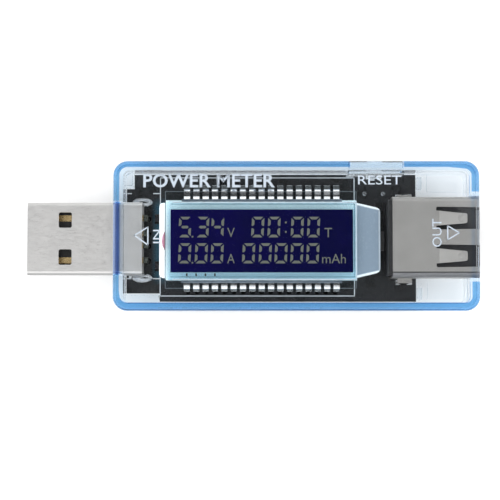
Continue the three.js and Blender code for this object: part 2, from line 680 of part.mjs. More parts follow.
function regulator() {
  const top = BOARD_UNDER - TOUCH;
  const x = -16.5;
  const y = 3.4;
  const body = block(around(x, 2.25), around(y, 1.25), [top - 1.5, top - 0.1]);
  const tab = block(around(x, 0.85), [y - 2.1, y - 0.9], [top - 0.4, top]);
  const leads = [-1.5, 0, 1.5].map((dx) => block(around(x + dx, 0.22), [y + 0.9, y + 2.1], [top - 0.4, top]));
  return union([body, tab, ...leads]);
}

// ---------------------------------------------------------------- the assembly

add("front_cover", frontCover(), clearBlue);
add("back_cover", backCover(), clearBlue);
add("reset_key", resetKey(), keyPlastic);

add("main_board", board(), blackMask);

add("plug_shell", plugShell(), steel);
add("plug_insulator", plugInsulator(), blackNylon);
add("socket_shell", socketShell(), steel);
add("socket_insulator", socketInsulator(), blackNylon);
CONTACT_OFFSETS.forEach((offset, i) => {
  add(`plug_contact_${CONTACT_NAMES[i]}`, plugContact(offset), gold);
  add(`socket_contact_${CONTACT_NAMES[i]}`, socketContact(offset), gold);
});

const lcdX = [LCD_LEFT, LCD_RIGHT];
const rise = (z, thick) => [z, z + thick];
add("lcd_front_glass", block(lcdX, around(VIEW_Y, FRONT_GLASS_HALF), rise(FRONT_GLASS_Z, GLASS_THICK)), glass);
add("lcd_rear_glass", block(lcdX, around(LCD_Y, REAR_GLASS_HALF), rise(REAR_GLASS_Z, GLASS_THICK)), glass);
const viewX = [VIEW_LEFT, VIEW_RIGHT];
const viewY = around(VIEW_Y, VIEW_HALF);
add("lcd_front_polariser", block(viewX, viewY, rise(FRONT_FILM_Z, FILM_THICK)), darkFilm);
add("lcd_rear_polariser", block(viewX, viewY, rise(REAR_FILM_Z, FILM_THICK)), darkFilm);
add("lcd_fill_seal", fillSeal(), epoxy);
add("lcd_pins_key_side", pinRow(1, PIN_ROWS[1]), tin);
add("lcd_pins_far_side", pinRow(-1, PIN_ROWS[0]), tin);
add("backlight_guide", prismZ(guideOutline(0), [GUIDE_BASE, GUIDE_TOP]), guideAcrylic);
add("backlight_reflector", prismZ(guideOutline(0.1), rise(BOARD_TOP + 0.08, 0.15)), whiteFilm);
const lampX = [GUIDE_END + TOUCH, GUIDE_END + 0.75];
add("backlight_lamp", block(lampX, around(LCD_Y, 1.6), [BOARD_TOP + TOUCH, BOARD_TOP + 1.4]), whiteFilm);

add("switch_base", switchBase(), blackNylon);
add("switch_frame", switchFrame(), steel);
add("switch_stem", switchStem(), blackNylon);
add("switch_dome", switchDome(), steel);
[-1, 1].forEach((side) => {
  const name = side < 0 ? "switch_terminal_left" : "switch_terminal_right";
  const x = KEY_X + side * TERMINAL_OFFSET;
  add(name, block(around(x, 0.2), around(7.5, 0.2), [BOARD_UNDER - TOUCH + 0.02, BOARD_TOP + 0.4]), tin);
});

const controller = { x: -5.5, y: -0.4, length: 10, width: 10, height: 1.5 };
add("controller_chip", leadedChip({
  ...controller, leads: 11, pitch: 0.8, leadWidth: 0.35, reach: 1, fourSides: true,
}), chipResin);
add("memory_chip", leadedChip({
  x: 6.2, y: 2.6, length: 4.9, width: 3.9, height: 1.5, leads: 4, pitch: 1.27, leadWidth: 0.42, reach: 1.05,
}), chipResin);
add("regulator", regulator(), chipResin);
add("current_shunt", chipPart(7, -5, 6.4, 3.2, 0.6), ceramicBlack);
add("input_capacitor", chipPart(-20.6, -3.6, 2, 1.25, 1), ceramicTan);
add("output_capacitor", chipPart(13.2, -3.6, 2, 1.25, 1), ceramicTan);
add("regulator_capacitor", chipPart(-16.5, -2.2, 2, 1.25, 1), ceramicTan);
add("crystal", chipPart(-14.9, -6, 3.2, 1.5, 0.8), steel);
add("lamp_resistor", chipPart(12.6, 2.4, 1.6, 0.8, 0.45), ceramicBlack);
add("divider_resistor_high", chipPart(-20.4, 6.4, 1.6, 0.8, 0.45), ceramicBlack);
add("divider_resistor_low", chipPart(-20.4, 4.8, 1.6, 0.8, 0.45), ceramicBlack);
add("sense_resistor", chipPart(1.8, -7.4, 1.6, 0.8, 0.45), ceramicBlack);
add("data_resistor_high", chipPart(-23.1, 3.2, 0.8, 1.6, 0.45, true), ceramicBlack);
add("data_resistor_low", chipPart(-23.1, -4.7, 0.8, 1.6, 0.45, true), ceramicBlack);

export default meter;
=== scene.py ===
"""Looks of a USB power meter: a clear blue case round a board with a lit display, a plug and a socket."""

import json
import math

import bmesh
import bpy
from mathutils import Matrix, Vector


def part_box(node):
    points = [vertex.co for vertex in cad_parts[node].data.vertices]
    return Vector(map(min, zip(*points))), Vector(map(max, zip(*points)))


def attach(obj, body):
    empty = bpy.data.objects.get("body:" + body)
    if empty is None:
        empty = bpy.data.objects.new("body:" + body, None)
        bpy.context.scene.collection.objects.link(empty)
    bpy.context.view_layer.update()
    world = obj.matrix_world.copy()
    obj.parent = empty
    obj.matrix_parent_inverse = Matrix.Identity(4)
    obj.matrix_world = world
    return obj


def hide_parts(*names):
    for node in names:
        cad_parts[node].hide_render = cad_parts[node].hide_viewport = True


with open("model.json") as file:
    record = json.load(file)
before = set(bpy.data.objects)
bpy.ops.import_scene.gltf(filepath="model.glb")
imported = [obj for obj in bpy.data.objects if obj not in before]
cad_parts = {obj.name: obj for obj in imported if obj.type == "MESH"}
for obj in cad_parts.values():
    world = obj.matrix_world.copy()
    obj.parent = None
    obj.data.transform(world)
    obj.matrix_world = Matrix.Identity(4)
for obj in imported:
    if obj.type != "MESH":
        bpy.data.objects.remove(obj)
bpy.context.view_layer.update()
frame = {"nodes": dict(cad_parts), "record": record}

MM = 0.001
NODES = frame["nodes"]


# ---------------------------------------------------------------- places, in millimetres


def low(node):
    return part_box(node)[0] / MM


def high(node):
    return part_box(node)[1] / MM


CASE_LOW, CASE_HIGH = low("back_cover"), high("front_cover")
CEILING = CASE_HIGH.z - 1.3
BOARD_TOP = high("main_board").z
BOARD_UNDER = low("main_board").z
VIEW_LOW, VIEW_HIGH = low("lcd_front_polariser"), high("lcd_front_polariser")
INK = 0.012  # thickness of a printed or plated film


# ---------------------------------------------------------------- camera

CAMERA_LENS = 110.4
CAMERA_DISTANCE = 256
CAMERA_TILT = math.radians(3.5)
CAMERA_TARGET = Vector((-7.58, -2.0, 6.0))


def add_camera():
    data = bpy.data.cameras.new("camera")
    data.lens = CAMERA_LENS
    data.clip_start = 0.001
    camera = bpy.data.objects.new("camera", data)
    bpy.context.scene.collection.objects.link(camera)
    back = Vector((0, -math.sin(CAMERA_TILT), math.cos(CAMERA_TILT)))
    camera.location = (CAMERA_TARGET + back * CAMERA_DISTANCE) * MM
    camera.rotation_euler = (CAMERA_TILT, 0, 0)
    bpy.context.scene.camera = camera


add_camera()


# ---------------------------------------------------------------- material helpers


class Tree:
    """A material's node tree, with short calls for the nodes that the materials share."""

    def __init__(self, name):
        self.material = bpy.data.materials.new(name)
        self.material.use_nodes = True
        self.nodes = self.material.node_tree.nodes
        self.links = self.material.node_tree.links
        self.nodes.clear()
        self.out = self.nodes.new("ShaderNodeOutputMaterial")
        self.coordinates = self.nodes.new("ShaderNodeTexCoord").outputs["Object"]

    def feed(self, socket, value):
        if isinstance(value, bpy.types.NodeSocket):
            self.links.new(value, socket)
        else:
            socket.default_value = value

    def node(self, kind, settings=(), **inputs):
        made = self.nodes.new(kind)
        for key, value in dict(settings).items():
            setattr(made, key, value)
        for key, value in inputs.items():
            self.feed(made.inputs[key.replace("_", " ")], value)
        return made

    def stretched(self, scale):
        """Object coordinates in millimetres, times scale on each axis."""
        factors = [s / MM for s in scale]
        return self.node("ShaderNodeMapping", Vector=self.coordinates, Scale=factors).outputs[0]

    def noise(self, scale, detail=3.0, roughness=0.5):
        """Noise from 0 to 1, with scale features in a millimetre on each axis."""
        vector = self.stretched(scale)
        made = self.node("ShaderNodeTexNoise", Vector=vector, Scale=1.0, Detail=detail, Roughness=roughness)
        return made.outputs["Fac"]

    def spread(self, value, low_out, high_out, low_in=0.3, high_in=0.7):
        """Maps a value from one range to another, held at both ends."""
        made = self.node("ShaderNodeMapRange", Value=value)
        made.inputs["From Min"].default_value = low_in
        made.inputs["From Max"].default_value = high_in
        made.inputs["To Min"].default_value = low_out
        made.inputs["To Max"].default_value = high_out
        return made.outputs["Result"]

    def blend(self, factor, first, second):
        """Mixes two colours."""
        made = self.node("ShaderNodeMix", {"data_type": "RGBA"})
        self.feed(made.inputs[0], factor)
        for socket, value in ((made.inputs[6], first), (made.inputs[7], second)):
            self.feed(socket, value if isinstance(value, bpy.types.NodeSocket) else (*value, 1))
        return made.outputs[2]

    def math(self, operation, first, second=0.0):
        made = self.node("ShaderNodeMath", {"operation": operation})
        self.feed(made.inputs[0], first)
        self.feed(made.inputs[1], second)
        return made.outputs[0]

    def vectors(self, operation, first, second=(0, 0, 0)):
        made = self.node("ShaderNodeVectorMath", {"operation": operation})
        self.feed(made.inputs[0], first)
        self.feed(made.inputs[1], second)
        return made.outputs["Value" if operation == "LENGTH" else "Vector"]

    def within(self, value, start, end, soft=0.05):
        """1 between start and end and 0 outside them."""
        rising = self.spread(value, 0, 1, start - soft, start + soft)
        falling = self.spread(value, 1, 0, end - soft, end + soft)
        return self.math("MULTIPLY", rising, falling)

    def bump(self, height, distance, strength=1.0):
        """A bump whose full height is distance, in millimetres."""
        made = self.node("ShaderNodeBump", Height=height, Strength=strength)
        made.inputs["Distance"].default_value = distance * MM
        return made.outputs["Normal"]

    def along(self, axis):
        """The place along one axis, in millimetres."""
        parts = self.node("ShaderNodeSeparateXYZ", Vector=self.stretched((1, 1, 1)))
        return parts.outputs[axis]

    def principled(self, **inputs):
        shader = self.node("ShaderNodeBsdfPrincipled")
        for key, value in inputs.items():
            if isinstance(value, tuple) and len(value) == 3 and "Color" in key.title():
                value = (*value, 1)
            self.feed(shader.inputs[key.replace("_", " ")], value)
        return shader.outputs[0]

    def finish(self, surface, volume=None):
        self.links.new(surface, self.out.inputs["Surface"])
        if volume is not None:
            self.links.new(volume, self.out.inputs["Volume"])
        return self.material


def metal(name, color, roughness=0.3, grain=(2, 40, 40), depth=0.004, stain=0.08):
    """Plated sheet metal: fine grain along X by default, with faint stains."""
    t = Tree(name)
    lines = t.noise(grain, detail=4, roughness=0.6)
    cloud = t.noise((0.35, 0.35, 0.35), detail=3)
    dark = tuple(c * (1 - stain * 2) for c in color)
    tone = t.blend(t.spread(cloud, 0, 1), dark, color)
    tone = t.blend(t.spread(lines, 0, 0.5), tone, tuple(min(c * 1.12, 1) for c in color))
    surface = t.principled(
        Base_Color=tone,
        Metallic=1.0,
        Roughness=t.spread(lines, roughness * 0.75, roughness * 1.3),
        Normal=t.bump(lines, depth, 0.6),
    )
    return t.finish(surface)


def moulded(name, color, roughness=0.4, speck=14, depth=0.006, mottle=0.15):
    """Moulded or fired opaque material, with a fine texture and slight mottling."""
    t = Tree(name)
    fine = t.noise((speck,) * 3, detail=5, roughness=0.6)
    cloud = t.noise((0.8,) * 3)
    dark, light = (tuple(c * (1 + change) for c in color) for change in (-mottle, mottle))
    tone = t.blend(t.spread(cloud, 0, 1), dark, light)
    surface = t.principled(
        Base_Color=tone,
        Roughness=t.spread(fine, roughness * 0.85, roughness * 1.2),
        Normal=t.bump(fine, depth, 0.5),
    )
    return t.finish(surface)


def lamp_lit(t, surface, ghost_tint):
    """Lets lamps and soft light through a clear surface, so that what is behind it is lit cleanly."""
    ghost = t.node("ShaderNodeBsdfTransparent", Color=(*ghost_tint, 1)).outputs[0]
    path = t.node("ShaderNodeLightPath").outputs
    for ray in ("Is Diffuse Ray", "Is Shadow Ray"):
        mix = t.node("ShaderNodeMixShader")
        t.links.new(path[ray], mix.inputs[0])
        t.links.new(surface, mix.inputs[1])
        t.links.new(ghost, mix.inputs[2])
        surface = mix.outputs[0]
    return surface


def clear(name, tint, ior, wave=0.01, rough=0.02):
    """Clear material with gentle waves and fine scuffs in its surface."""
    t = Tree(name)
    waves = t.noise((0.12, 0.12, 0.12), detail=2)
    scuffs = t.noise((0.6, 18, 6), detail=5, roughness=0.7)
    surface = t.principled(
        Base_Color=tint,
        Roughness=t.spread(scuffs, rough, rough + 0.05, 0.55, 0.8),
        Transmission_Weight=1.0,
        IOR=ior,
        Normal=t.bump(waves, wave, 0.5),
    )
    return t.finish(lamp_lit(t, surface, tint))


CASE_CORNER = 2.4  # radius of the case's corners in plan
SPLIT_Z = high("back_cover").z - 0.7  # the joint between the covers, under the back cover's lip
# The faces of the lip's joint and of the lower outer edge are see-through, with no gloss or refraction.
# The lower outer edge takes in a strip of the underside.
JOINT_INSET, JOINT_Z = (0.3, 1.3), (SPLIT_Z - 1.1, SPLIT_Z + 0.9)  # where the lip and its groove lie
FOOT_INSET, FOOT_Z = (2.2, 2.3), (0.58, 0.6)  # where the lower outer edge ends, inwards and upwards
RIM_OUTER = 1.0  # how far in from the case's outside its walls look deep blue, and where that ends
RIM_INNER = 1.15
RIM_GROWTH = 0.3  # how much wider the rim is along the socket's end and the near side
RIM_TINT = (0.028, 0.18, 0.52)
RIM_TINT_LIGHT = (0.06, 0.26, 0.60)
# Over the plug the rim is paler at its outer edge and darker inside it: a painted shade where the plug blocks
# light from below.
PLUG_EDGE_TINT, PLUG_RIM_SHADE_TINT = (0.70, 0.83, 1.0), (0.24, 0.36, 0.72)
SOCKET_RIM_TINT = (0.84, 0.91, 1.0)
KEY_RIM_TINT = (0.86, 0.93, 0.99)
PLATE_TINT = (1.0, 1.0, 1.0)
CASE_ABSORPTION, CASE_DENSITY = (0.22, 0.62, 0.93, 1), 32.0


def case_inset(t):
    """How far in from the case's outline a point is, seen from above."""
    corner = (CASE_HIGH.x - CASE_CORNER, CASE_HIGH.y - CASE_CORNER, 0)
    past = t.vectors("SUBTRACT", t.vectors("ABSOLUTE", t.stretched((1, 1, 0))), corner)
    return t.math("SUBTRACT", CASE_CORNER, t.vectors("LENGTH", t.vectors("MAXIMUM", past)))


def rim_tone(t, x, y, inset):
    """The rim's blue, lighter at the case's ends and different over the plug, the socket and the key. Over
    the plug it is paler at its outer edge and darker inside that, a painted shade where the plug blocks light
    from below.
    """
    left, back = t.spread(x, 1, 0, -1, 0), t.spread(y, 0, 1, 0, 1)
    streaks = t.spread(t.noise((0.05, 0.05, 0.05), detail=2), 0.0, 0.35)
    at_end = t.spread(t.math("ABSOLUTE", y), 1, 0, CASE_HIGH.y - 2.8, CASE_HIGH.y - 1.3)
    tone = t.blend(t.math("MAXIMUM", streaks, at_end), RIM_TINT, RIM_TINT_LIGHT)
    over_plug = t.math("MULTIPLY", left, t.within(y, low("plug_shell").y, high("plug_shell").y))
    # painted shade: darker blue over the plug, which blocks light from below
    plug_rim_shade = t.blend(t.within(inset, 0.4, 1.0, 0.1), PLUG_EDGE_TINT, PLUG_RIM_SHADE_TINT)
    tone = t.blend(over_plug, tone, plug_rim_shade)
    over_socket = t.math("SUBTRACT", t.within(y, low("socket_shell").y, high("socket_shell").y), left)
    socket_tone = t.blend(t.within(inset, 0.55, 0.8), SOCKET_RIM_TINT, PLATE_TINT)
    tone = t.blend(t.spread(over_socket, 0, 1, 0, 1), tone, socket_tone)
    over_key = t.math("MULTIPLY", back, t.within(x, low("reset_key").x + 0.3, high("reset_key").x - 0.3))
    return t.blend(over_key, tone, KEY_RIM_TINT)


def rim_mask(t, x, y, z, inset):
    """1 on the front cover's level faces over its walls, and 0 on its plate and its upright faces."""
    facing = t.node("ShaderNodeSeparateXYZ")
    t.links.new(t.nodes.new("ShaderNodeTexCoord").outputs["Normal"], facing.inputs[0])
    level = t.spread(t.math("ABSOLUTE", facing.outputs["Z"]), 0, 1, 0.1, 0.6)
    growth = t.math("MAXIMUM", t.spread(x, 0, RIM_GROWTH, CASE_HIGH.x - 5, CASE_HIGH.x - 2),
                    t.spread(y, RIM_GROWTH, 0, CASE_LOW.y + 1.3, CASE_LOW.y + 3.3))
    rim = t.spread(t.math("SUBTRACT", inset, growth), 1, 0, RIM_OUTER, RIM_INNER)
    return t.math("MULTIPLY", t.math("MULTIPLY", rim, level), t.spread(z, 0, 1, SPLIT_Z, SPLIT_Z + 0.1))


def case_plastic():
    """Clear plastic with a blue tint, deepest where light runs down the full height of the walls."""
    t = Tree("case_plastic")
    x, y, z = t.along("X"), t.along("Y"), t.along("Z")
    inset = case_inset(t)
    tone = t.blend(rim_mask(t, x, y, z, inset), PLATE_TINT, rim_tone(t, x, y, inset))
    joint = t.math("MULTIPLY", t.within(inset, *JOINT_INSET, 0.01), t.within(z, *JOINT_Z, 0.01))
    foot = t.math("MULTIPLY", t.spread(inset, 1, 0, *FOOT_INSET), t.spread(z, 1, 0, *FOOT_Z))
    waves = t.noise((0.12, 0.12, 0.12), detail=2)
    scuffs = t.noise((0.6, 18, 6), detail=5, roughness=0.7)
    surface = t.principled(
        Base_Color=tone,
        Roughness=t.spread(scuffs, 0.02, 0.07, 0.55, 0.8),
        Transmission_Weight=1.0,
        IOR=1.5,
        Alpha=t.math("SUBTRACT", 1.0, t.math("MAXIMUM", joint, foot)),
        Normal=t.bump(waves, 0.02, 0.5),
    )
    volume = t.node("ShaderNodeVolumeAbsorption", Color=CASE_ABSORPTION, Density=CASE_DENSITY).outputs[0]
    return t.finish(lamp_lit(t, surface, PLATE_TINT), volume)


# ---------------------------------------------------------------- materials

CASE_PLASTIC = case_plastic()
GLASS = clear("lcd_glass", (0.93, 0.985, 1.0), 1.52, wave=0.002, rough=0.01)
SOLDER = metal("solder", (0.38, 0.40, 0.42), 0.1, grain=(2, 2, 2), depth=0.02, stain=0.12)
BRIGHT_STEEL = metal("switch_metal", (0.72, 0.72, 0.71), 0.25, grain=(20, 3, 20))
CONNECTOR_PLASTIC = moulded("connector_plastic", (0.018, 0.018, 0.02), 0.45)
SWITCH_PLASTIC = moulded("switch_plastic", (0.02, 0.02, 0.022), 0.5)
CHIP_RESIN = moulded("chip_resin", (0.022, 0.022, 0.024), 0.6, speck=22, depth=0.01)
RESISTOR = moulded("resistor", (0.02, 0.02, 0.025), 0.3)
CAPACITOR = moulded("capacitor", (0.36, 0.24, 0.13), 0.45)
WHITE_INK = moulded("white_ink", (0.74, 0.80, 0.88), 0.5, speck=30, depth=0.002, mottle=0.03)
SILK_INK = moulded("silk_ink", (0.62, 0.66, 0.70), 0.5, speck=30, depth=0.002, mottle=0.1)
REFLECTOR = moulded("reflector", (0.9, 0.92, 0.94), 0.5, mottle=0.03)
LAMP = moulded("lamp", (0.05, 0.05, 0.05), 0.4, mottle=0.1)
BEAD = moulded("adhesive_bead", (0.13, 0.17, 0.21), 0.12, speck=5, depth=0.02, mottle=0.2)
GLASS_EDGE_HIGHLIGHT = moulded("glass_edge_highlight", (0.60, 0.72, 0.80), 0.35, speck=8, depth=0.01, mottle=0.12)
GLASS_SEAL_AND_SHADOW = moulded("glass_seal_and_shadow", (0.26, 0.46, 0.57), 0.3, speck=8, depth=0.01, mottle=0.2)
GLASS_OUTLINE_SHADE = moulded("glass_outline_shade", (0.13, 0.16, 0.18), 0.3, speck=8, depth=0.01, mottle=0.3)


LEG_SHADE_KEY_SIDE = (7.78, 7.86)  # where the painted shade on the pins' legs begins along Y, on each side of the glass
LEG_SHADE_FAR_SIDE = (-8.68, -8.60)


def tinned():
    """Bright tin, with painted shade on the legs outside the glass."""
    t = Tree("tinned_pins")
    y = t.along("Y")
    leg_shade = t.math("ADD", t.spread(y, 0, 1, *LEG_SHADE_KEY_SIDE), t.spread(y, 1, 0, *LEG_SHADE_FAR_SIDE))
    fine = t.noise((8, 8, 8), detail=4)
    tone = t.blend(t.spread(fine, 0, 1), (0.78, 0.80, 0.82), (0.90, 0.91, 0.92))
    # painted shade: the legs outside the glass are darkened
    tone = t.blend(leg_shade, tone, (0.17, 0.19, 0.20))
    surface = t.principled(
        Base_Color=tone, Metallic=1.0, Roughness=t.spread(fine, 0.08, 0.14), Normal=t.bump(fine, 0.004, 0.5)
    )
    return t.finish(surface)


def plug_sheet():
    """Fine-grained plug steel, with painted shade round the upper bend of its far side."""
    t = Tree("plug_steel")
    y = t.along("Y")
    upper = t.spread(t.along("Z"), 0, 1, high("plug_shell").z - 0.7, high("plug_shell").z - 0.4)
    lines = t.noise((1.2, 26, 26), detail=4, roughness=0.6)
    cloud = t.noise((0.35, 0.35, 0.35), detail=3)
    tone = t.blend(t.spread(cloud, 0, 1), (0.65, 0.645, 0.64), (0.71, 0.705, 0.695))
    tone = t.blend(t.spread(lines, 0, 0.5), tone, (0.79, 0.785, 0.775))
    # painted shade: two darker bands round the far side's upper bend, darkest at its outer edge
    bend = low("plug_shell").y
    for start, end, shade_level in ((0.25, 0.45, 0.46), (0.03, 0.1, 0.16)):
        part = t.math("MULTIPLY", upper, t.spread(y, 1, 0, bend + start, bend + end))
        tone = t.blend(part, tone, (shade_level, shade_level, shade_level))
    surface = t.principled(
        Base_Color=tone, Metallic=1.0, Roughness=t.spread(lines, 0.27, 0.47), Normal=t.bump(lines, 0.004, 0.6)
    )
    return t.finish(surface)


SOCKET_BEND_Y = -6.0  # where the socket's far bend begins
# where a painted dark line of shade runs along the start of the far bend, along Y
SOCKET_BEND_SHADE_LINE = (-6.02, -5.84)


def socket_sheet():
    """Grained socket steel, with painted shade on the upper part of its far bend and a painted dark line of
    shade along the bend's start.
    """
    t = Tree("socket_steel")
    y, z = t.along("Y"), t.along("Z")
    lines = t.noise((1.5, 18, 18), detail=4, roughness=0.6)
    cloud = t.noise((0.35, 0.35, 0.35), detail=3)
    tone = t.blend(t.spread(cloud, 0, 1), (0.40, 0.385, 0.365), (0.45, 0.435, 0.415))
    tone = t.blend(t.spread(lines, 0, 0.5), tone, (0.52, 0.50, 0.48))
    top = high("socket_shell").z
    # painted shade: the upper part of the far bend is darkened
    bend = t.spread(y, 1, 0, SOCKET_BEND_Y - 0.05, SOCKET_BEND_Y + 0.05)
    bend = t.math("MULTIPLY", bend, t.spread(z, 0, 1, top - 1.2, top - 0.9))
    tone = t.blend(bend, tone, (0.24, 0.24, 0.245))
    # painted shade: a dark line along the start of the far bend
    bend_shade_line = t.math("MULTIPLY", t.within(y, *SOCKET_BEND_SHADE_LINE, 0.03), t.spread(z, 0, 1, top - 0.1, top - 0.05))
    tone = t.blend(bend_shade_line, tone, (0.06, 0.06, 0.06))
    surface = t.principled(
        Base_Color=tone, Metallic=1.0, Roughness=t.spread(lines, 0.32, 0.55), Normal=t.bump(lines, 0.006, 0.6)
    )
    return t.finish(surface)


def contact_metal():
    """Gold strips, dark grey-green on their tails near the board."""
    t = Tree("contact_gold")
    x = t.along("X")
    lines = t.noise((3, 22, 22), detail=4)
    tail = t.within(x, low("plug_contact_power").x + 17, low("socket_insulator").x + 2.4)
    tone = t.blend(t.spread(lines, 0, 1), (0.74, 0.54, 0.26), (0.84, 0.64, 0.34))
    tone = t.blend(tail, tone, (0.20, 0.22, 0.20))
    surface = t.principled(
        Base_Color=tone, Metallic=1.0, Roughness=t.spread(lines, 0.22, 0.36), Normal=t.bump(lines, 0.004, 0.6)
    )
    return t.finish(surface)


def solder_mask():
    """Glossy black mask over slightly raised traces, with a faint glow beside the light guide's lip."""
    t = Tree("board")
    grid = t.stretched((0.45, 0.3, 0.1))
    cells = t.node("ShaderNodeTexVoronoi", {"distance": "CHEBYCHEV"}, Vector=grid, Scale=1.0)
    traces = t.spread(cells.outputs["Distance"], 0, 1, 0.30, 0.36)
    fine = t.noise((16, 16, 16), detail=4)
    tone = t.blend(traces, (0.009, 0.010, 0.011), (0.017, 0.018, 0.020))
    guide_low, guide_high = low("backlight_guide"), high("backlight_guide")
    beside = t.within(t.along("X"), guide_low.x - 0.9, guide_low.x + 1, 0.6)
    glow = t.math("MULTIPLY", beside, t.within(t.along("Y"), guide_low.y, guide_high.y, 0.8))
    glow = t.math("MULTIPLY", glow, t.spread(t.along("Z"), 0, 0.5, BOARD_TOP - 0.1, BOARD_TOP - 0.05))
    surface = t.principled(
        Base_Color=tone,
        Roughness=t.spread(fine, 0.22, 0.36),
        Emission_Color=(0.01, 0.10, 0.16),
        Emission_Strength=glow,
        Normal=t.bump(traces, 0.02, 0.5),
    )
    return t.finish(surface)


def display_film():
    """Dark indigo polariser over a lit panel, a little brighter towards the left."""
    t = Tree("polariser")
    place = t.spread(t.along("X"), 1, 0, VIEW_LOW.x, VIEW_HIGH.x)
    fine = t.noise((9, 9, 9), detail=4)
    place = t.math("ADD", place, t.spread(t.noise((0.3, 0.3, 0.3)), -0.4, 0.4))
    tone = t.blend(place, (0.0005, 0.0008, 0.028), (0.0016, 0.0009, 0.041))
    surface = t.principled(
        Base_Color=tone,
        Roughness=t.spread(fine, 0.12, 0.2),
        Specular_IOR_Level=0.2,
        Emission_Color=tone,
        Emission_Strength=0.3,
        Normal=t.bump(fine, 0.002, 0.4),
    )
    return t.finish(surface)


GUIDE_TAPER = 3.9  # length of the guide's narrowing end
GUIDE_HALF = 5.75  # half of the guide's width, less its bright slanted edge


def light_guide():
    """Milky acrylic, lit from inside: near white at its left lip and far edge, grey blue at its taper."""
    t = Tree("light_guide")
    left, right = low("backlight_guide").x, high("backlight_guide").x
    centre = (low("backlight_guide").y + high("backlight_guide").y) / 2
    x = t.along("X")
    off = t.math("ABSOLUTE", t.math("SUBTRACT", t.along("Y"), centre))
    lip = t.spread(x, 1, 0, left + 1.0, left + 1.9)
    taper = t.spread(x, 0, 1, right - GUIDE_TAPER - 0.15, right - GUIDE_TAPER + 0.15)
    fine = t.noise((2.5, 2.5, 2.5), detail=4)
    body = t.blend(lip, (0.58, 0.78, 0.88), (0.95, 0.97, 0.98))
    far = t.spread(t.along("Y"), 0, 1, centre + 4.6, centre + 5.6)
    body = t.blend(far, body, (0.86, 0.96, 0.99))
    tone = t.blend(taper, body, (0.23, 0.30, 0.375))
    slanted = t.math("ADD", off, t.spread(x, 0, 0.9, right - GUIDE_TAPER, right))
    edge = t.math("MULTIPLY", t.spread(slanted, 0, 1, GUIDE_HALF, GUIDE_HALF + 0.2), taper)
    edge = t.math("MAXIMUM", edge, t.spread(x, 0, 0.35, right - 0.3, right - 0.2))
    tone = t.blend(edge, tone, (0.85, 0.93, 0.96))
    surface = t.principled(
        Base_Color=tone,
        Roughness=t.spread(fine, 0.18, 0.3),
        Emission_Color=tone,
        Emission_Strength=t.spread(lip, 0.28, 0.6, 0, 1),
        Normal=t.bump(fine, 0.01, 0.5),
    )
    return t.finish(surface)


def glowing_ink(name, color, strength):
    t = Tree(name)
    fine = t.noise((6, 6, 6), detail=3)
    tone = t.blend(t.spread(fine, 0, 1), tuple(c * 0.85 for c in color), color)
    surface = t.principled(
        Base_Color=tone, Roughness=0.35, Emission_Color=tone, Emission_Strength=strength
    )
    return t.finish(surface)


def fill_epoxy():
    """Pink cured adhesive with a darker red core."""
    t = Tree("fill_seal")
    core = t.noise((1.6, 0.9, 0.9), detail=2)
    dark = t.within(t.along("X"), low("lcd_fill_seal").x + 0.35, low("lcd_fill_seal").x + 0.75, 0.2)
    tone = t.blend(t.spread(core, 0, 1, 0.4, 0.6), (0.86, 0.50, 0.62), (0.70, 0.30, 0.42))
    tone = t.blend(dark, tone, (0.30, 0.03, 0.08))
    surface = t.principled(Base_Color=tone, Roughness=0.18, Normal=t.bump(core, 0.03, 0.5))
    return t.finish(surface)


GOLD = contact_metal()
TIN = tinned()
PLUG_STEEL = plug_sheet()
SOCKET_STEEL = socket_sheet()
MASK = solder_mask()
FILM = display_film()
GUIDE = light_guide()
SEGMENT_INK = glowing_ink("segment_ink", (0.12, 0.13, 0.105), 0.25)
EPOXY = fill_epoxy()
KEY = clear("key_plastic", (0.93, 0.97, 1.0), 1.5, rough=0.12)

SLOT_LOOKS = {
    "case_plastic": CASE_PLASTIC,
    "key_plastic": KEY,
    "board": MASK,
    "plug_steel": PLUG_STEEL,
    "socket_steel": SOCKET_STEEL,
    "connector_plastic": CONNECTOR_PLASTIC,
    "contact_gold": GOLD,
    "lcd_glass": GLASS,
    "polariser": FILM,
    "fill_seal": EPOXY,
    "tinned_pins": TIN,
    "light_guide": GUIDE,
    "reflector": REFLECTOR,
    "lamp": LAMP,
    "switch_plastic": SWITCH_PLASTIC,
    "switch_metal": BRIGHT_STEEL,
    "chip_resin": CHIP_RESIN,
    "resistor": RESISTOR,
    "capacitor": CAPACITOR,
    "crystal_can": BRIGHT_STEEL,
}


def dress_cad_nodes():
    """Gives every CAD node its slot's material."""
    for entry in frame["record"]["subparts"]:
        node = NODES[entry["node"]]
        node.data.materials.clear()
        node.data.materials.append(SLOT_LOOKS[entry["material_slot"]])


dress_cad_nodes()


# ---------------------------------------------------------------- mesh helpers


def piece(name, bm, material, body="meter"):
    """Turns a bmesh in millimetres into a piece that rides on a body."""
    bmesh.ops.scale(bm, vec=(MM, MM, MM), verts=bm.verts)
    bmesh.ops.recalc_face_normals(bm, faces=bm.faces)
    mesh = bpy.data.meshes.new(name)
    bm.to_mesh(mesh)
    bm.free()
    made = bpy.data.objects.new(name, mesh)
    bpy.context.scene.collection.objects.link(made)
    mesh.materials.append(material)
    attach(made, body)
    return made


def slab(bm, outline, z0, z1):
    """Adds a closed slab with the given [x, y] outline between two heights."""
    lower = [bm.verts.new((x, y, z0)) for x, y in outline]
    upper = [bm.verts.new((x, y, z1)) for x, y in outline]
    bm.faces.new(lower[::-1])
    bm.faces.new(upper)
    for i in range(len(outline)):
        j = (i + 1) % len(outline)
        bm.faces.new((lower[i], lower[j], upper[j], upper[i]))


def rectangle(x, y, half_x, half_y):
    """The outline of a rectangle round a centre."""
    x0, x1, y0, y1 = x - half_x, x + half_x, y - half_y, y + half_y
    return [(x0, y0), (x1, y0), (x1, y1), (x0, y1)]


